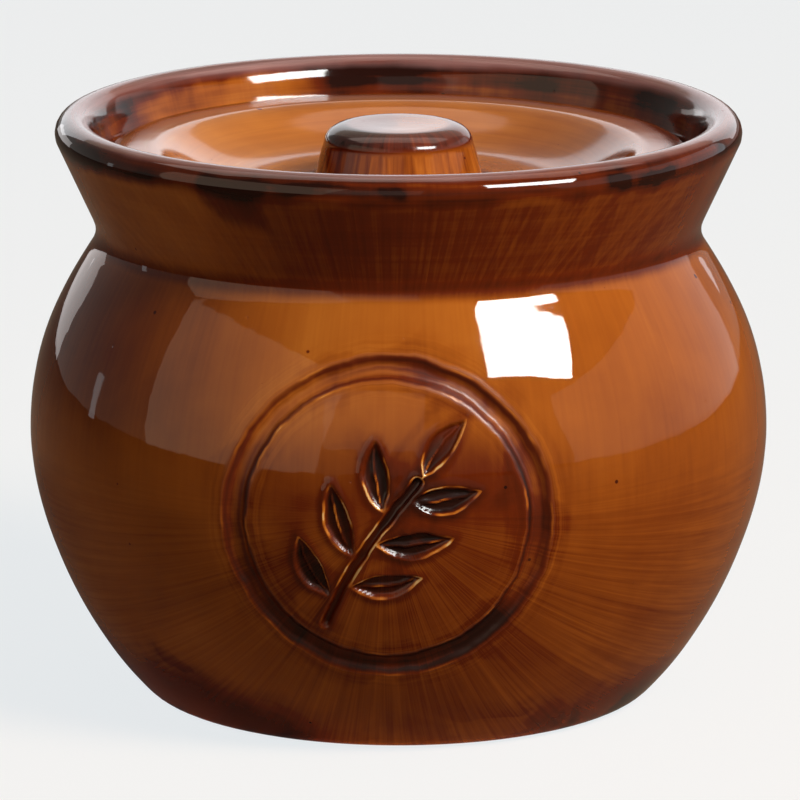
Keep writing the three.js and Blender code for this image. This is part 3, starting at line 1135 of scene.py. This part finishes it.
class StewPotMakeStage(bpy.types.Operator):
    """Lay the floor, hang the lamps and set up the camera"""

    bl_idname = "stewpot.stage"
    bl_label = "Stage"
    bl_options = {"REGISTER", "UNDO"}

    def execute(self, context):
        stage = sizes(context).stage
        lay_floor(stage)
        light_room(context.scene, stage)
        for lamp in LAMPS:
            hang_lamp(*lamp)
        place_camera(context.scene, stage)
        context.scene.view_settings.view_transform = "Standard"
        return {"FINISHED"}


def lay_floor(stage):
    """A wide matt floor just under the foot, which is clear when it is seen from below."""
    form = bmesh.new()
    under = Matrix.Translation((0, 0, -FLOOR_GAP))
    bmesh.ops.create_circle(
        form, cap_ends=True, segments=96, radius=stage.floor_radius, matrix=under
    )
    mesh = bpy.data.meshes.new("studio_floor")
    form.to_mesh(mesh)
    form.free()
    paint = Finish(bpy.data.materials.new("studio_floor"))
    matt = paint.node("ShaderNodeBsdfDiffuse", sockets={"Color": (*stage.floor_colour, 1)})
    glow = {"Color": (*stage.lift_colour, 1), "Strength": stage.floor_lift}
    lift = paint.node("ShaderNodeEmission", sockets=glow)
    lifted = paint.node("ShaderNodeAddShader", sockets={0: matt, 1: lift})
    share = seen(paint, stage)
    top = paint.either(share, matt, lifted)
    below = paint.node("ShaderNodeNewGeometry", output="Backfacing")
    clear = paint.node("ShaderNodeBsdfTransparent")
    mesh.materials.append(paint.shown(paint.either(below, top, clear)))
    floor = bpy.data.objects.new("studio_floor", mesh)
    floor.visible_shadow = False
    bpy.context.scene.collection.objects.link(floor)


def seen(finish, stage):
    """1 for what the camera sees, and a share of that for what the glaze mirrors."""
    camera, glossy, through = [
        finish.node("ShaderNodeLightPath", output=ray)
        for ray in ("Is Camera Ray", "Is Glossy Ray", "Is Transmission Ray")
    ]
    return camera.most(through).most(glossy * stage.floor_gleam)


def light_room(scene, stage):
    """Light from all round, paler near the floor than overhead, behind a pale backdrop."""
    scene.world = bpy.data.worlds.new("room")
    room = Finish(scene.world)
    warm = (1, 0.94, 0.88)
    way = room.node("ShaderNodeTexCoord", output="Generated")
    rise = room.part(way, "Z").rise(0, 0.8)
    strength = stage.room_low + rise * (stage.room_high - stage.room_low)
    glow, pale = [
        room.node("ShaderNodeBackground", sockets={"Color": (*colour, 1), "Strength": level})
        for colour, level in ((warm, strength), (stage.lift_colour, stage.backdrop_level))
    ]
    room.shown(room.either(seen(room, stage), glow, pale), "ShaderNodeOutputWorld")


# Each lamp's name, azimuth from -Y towards +X, elevation and roll in degrees, distance, width
# and height in metres, glow of its face, colour, and the light that it doesn't give
LAMPS = (
    ("softbox", 52, 39, -20, 1.3, 0.61, 0.38, 27, (1, 0.99, 0.97), ""),
    ("softbox_gleam", 52, 39, -20, 1.31, 0.61, 0.38, 40, (0.5, 0.75, 1), "diffuse"),
    ("window", -148, 4.5, 0, 1.5, 0.55, 0.3, 1.12, (0.96, 0.92, 0.93), ""),
    ("window_slit", -107, 3.5, 0, 1.5, 0.08, 0.28, 1.5, (0.8, 0.9, 1), "diffuse"),
    ("left_wall", -52, 20, 0, 1.6, 1.9, 1.25, 1.25, (1, 0.86, 0.74), "diffuse"),
    ("front_wall", -6, 20, 0, 1.7, 0.9, 0.7, 0.55, (0.9, 0.95, 1), "diffuse"),
    ("right_wall", 98, 14, 0, 1.5, 2.7, 0.85, 0.9, (0.7, 0.8, 0.9), "diffuse"),
    ("backdrop", 180, 16, 0, 2, 2.4, 0.8, 1.5, (0.92, 0.95, 1), "diffuse"),
    ("back_wall", 180, 43, 0, 2, 2.4, 1.1, 0.45, (1, 0.86, 0.7), "diffuse"),
    ("ceiling", 180, 76, 0, 2, 3, 1.2, 2.5, (1, 0.9, 0.88), "diffuse"),
    ("under_light", 0, -90, 0, 0.094, 0.06, 0.06, 12, (1, 0.95, 0.9), "glossy"),
)


def hang_lamp(name, azimuth, elevation, roll, distance, width, height, glow, colour, lacks):
    """An area lamp that faces the middle of the pot."""
    lamp = bpy.data.lights.new(name, "AREA")
    lamp.shape = "RECTANGLE"
    lamp.size, lamp.size_y = width, height
    lamp.energy = glow * math.pi * width * height
    lamp.color = colour
    hung = bpy.data.objects.new(name, lamp)
    bpy.context.scene.collection.objects.link(hung)
    way = towards(math.radians(azimuth), math.radians(elevation))
    hung.location = Vector((0, 0, pot_high.z / 2)) + distance * way
    facing = (-way).to_track_quat("-Z", "Y").to_matrix()
    hung.rotation_euler = (facing @ Matrix.Rotation(math.radians(roll), 3, "Z")).to_euler()
    hung.visible_camera = False
    hung.visible_diffuse = lacks != "diffuse"
    hung.visible_glossy = lacks != "glossy"


def towards(turn, rise):
    """The direction with an azimuth from -Y towards +X and an elevation."""
    return Vector(
        (math.sin(turn) * math.cos(rise), -math.cos(turn) * math.cos(rise), math.sin(rise))
    )


def place_camera(scene, stage):
    """A long lens, a little above the pot and a little to its right."""
    camera = bpy.data.cameras.new("camera")
    camera.lens = stage.camera_lens
    camera.sensor_width = 36
    camera.clip_start, camera.clip_end = 0.05, 20
    held = bpy.data.objects.new("camera", camera)
    scene.collection.objects.link(held)
    turn, rise = stage.camera_turn, stage.camera_rise
    way = towards(turn, rise)
    aside = Vector((math.cos(turn), math.sin(turn), 0))
    lift = 0.001
    axis_point = Vector((0, 0, stage.aim_height + lift))
    aim = Vector((0, 0, stage.aim_height)) + stage.aim_aside * aside
    held.location = axis_point + stage.camera_distance * way
    held.rotation_euler = (aim - held.location).to_track_quat("-Z", "Y").to_euler()
    scene.camera = held


class StewPotPanel(bpy.types.Panel):
    """Lists the pieces of the stew pot"""

    bl_idname = "STEWPOT_PT_pieces"
    bl_label = "Stew Pot"
    bl_space_type = "VIEW_3D"
    bl_region_type = "UI"
    bl_category = "Stew Pot"

    def draw(self, context):
        settings = sizes(context)
        for operator, group in (
            (StewPotMakePot, settings.pot),
            (StewPotMakeLid, settings.lid),
            (StewPotMakeKnob, settings.knob),
            (StewPotMakeStage, settings.stage),
        ):
            self.layout.operator(operator.bl_idname)
            box = self.layout.box()
            for name in group.__annotations__:
                box.prop(group, name)


CLASSES = (
    StewPotBody,
    StewPotLid,
    StewPotKnob,
    StewPotRoundel,
    StewPotGlaze,
    StewPotStage,
    StewPotSettings,
    StewPotMakePot,
    StewPotMakeLid,
    StewPotMakeKnob,
    StewPotMakeStage,
    StewPotPanel,
)


def register():
    for one in CLASSES:
        bpy.utils.register_class(one)
    bpy.types.Scene.stew_pot = bpy.props.PointerProperty(type=StewPotSettings)


def unregister():
    del bpy.types.Scene.stew_pot
    for one in reversed(CLASSES):
        bpy.utils.unregister_class(one)


def main():
    register()
    bpy.ops.stewpot.pot()
    bpy.ops.stewpot.lid()
    bpy.ops.stewpot.knob()
    bpy.ops.stewpot.stage()


if __name__ == "__main__":
    main()
